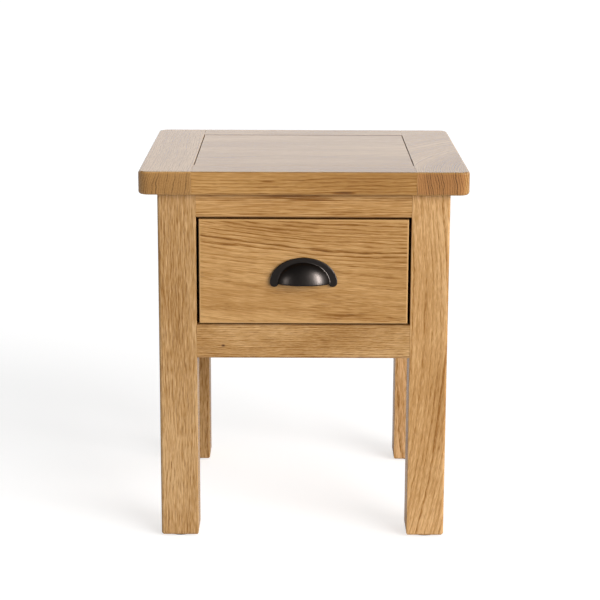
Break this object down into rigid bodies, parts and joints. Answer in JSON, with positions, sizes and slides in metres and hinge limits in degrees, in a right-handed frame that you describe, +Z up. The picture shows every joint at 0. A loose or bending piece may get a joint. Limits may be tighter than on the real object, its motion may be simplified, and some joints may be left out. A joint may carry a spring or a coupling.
{
  "type": "side table with drawer",
  "caption": "Square oak side table with thick legs, a framed flush-panel top and a single drawer opened by a dark metal cup pull.",
  "frame": {"origin": "on the floor, under the middle of the table's overall box, the pull included", "axes": "+Z up, +X to the right as seen from the front, -Y out of the drawer's front"},
  "size_m": [0.437, 0.406, 0.51],
  "materials": {
    "oak": "satin lacquer over natural oak",
    "inner_wood": "planed, unfinished",
    "drawer_wood": "smooth, clear sealed",
    "pull_metal": "dark antique pewter, satin gloss",
    "screw_steel": "zinc plated",
    "glide_pad": "matte"
  },
  "bodies": {
    "table": {"top_left_stile": "oak", "top_right_stile": "oak", "top_front_rail": "oak", "top_rear_rail": "oak", "top_panel": "oak", "front_left_leg": "oak", "front_right_leg": "oak", "rear_left_leg": "oak", "rear_right_leg": "oak", "upper_front_rail": "oak", "lower_front_rail": "oak", "left_side_panel": "oak", "right_side_panel": "oak", "back_panel": "oak", "left_runner": "inner_wood", "right_runner": "inner_wood", "left_guide": "inner_wood", "right_guide": "inner_wood", "left_kicker": "inner_wood", "right_kicker": "inner_wood", "drawer_stops": "inner_wood", "top_screws": "screw_steel", "runner_screws": "screw_steel", "foot_glides": "glide_pad"},
    "drawer": {"drawer_front": "oak", "drawer_left_side": "drawer_wood", "drawer_right_side": "drawer_wood", "drawer_back": "drawer_wood", "drawer_bottom": "drawer_wood", "bottom_screws": "screw_steel", "cup_pull": "pull_metal", "pull_screws": "screw_steel"}
  },
  "joints": [
    {"name": "drawer_slide", "type": "slide", "parent": "table", "child": "drawer", "axis": [0, -1, 0], "range_m": [0, 0.26]}
  ]
}
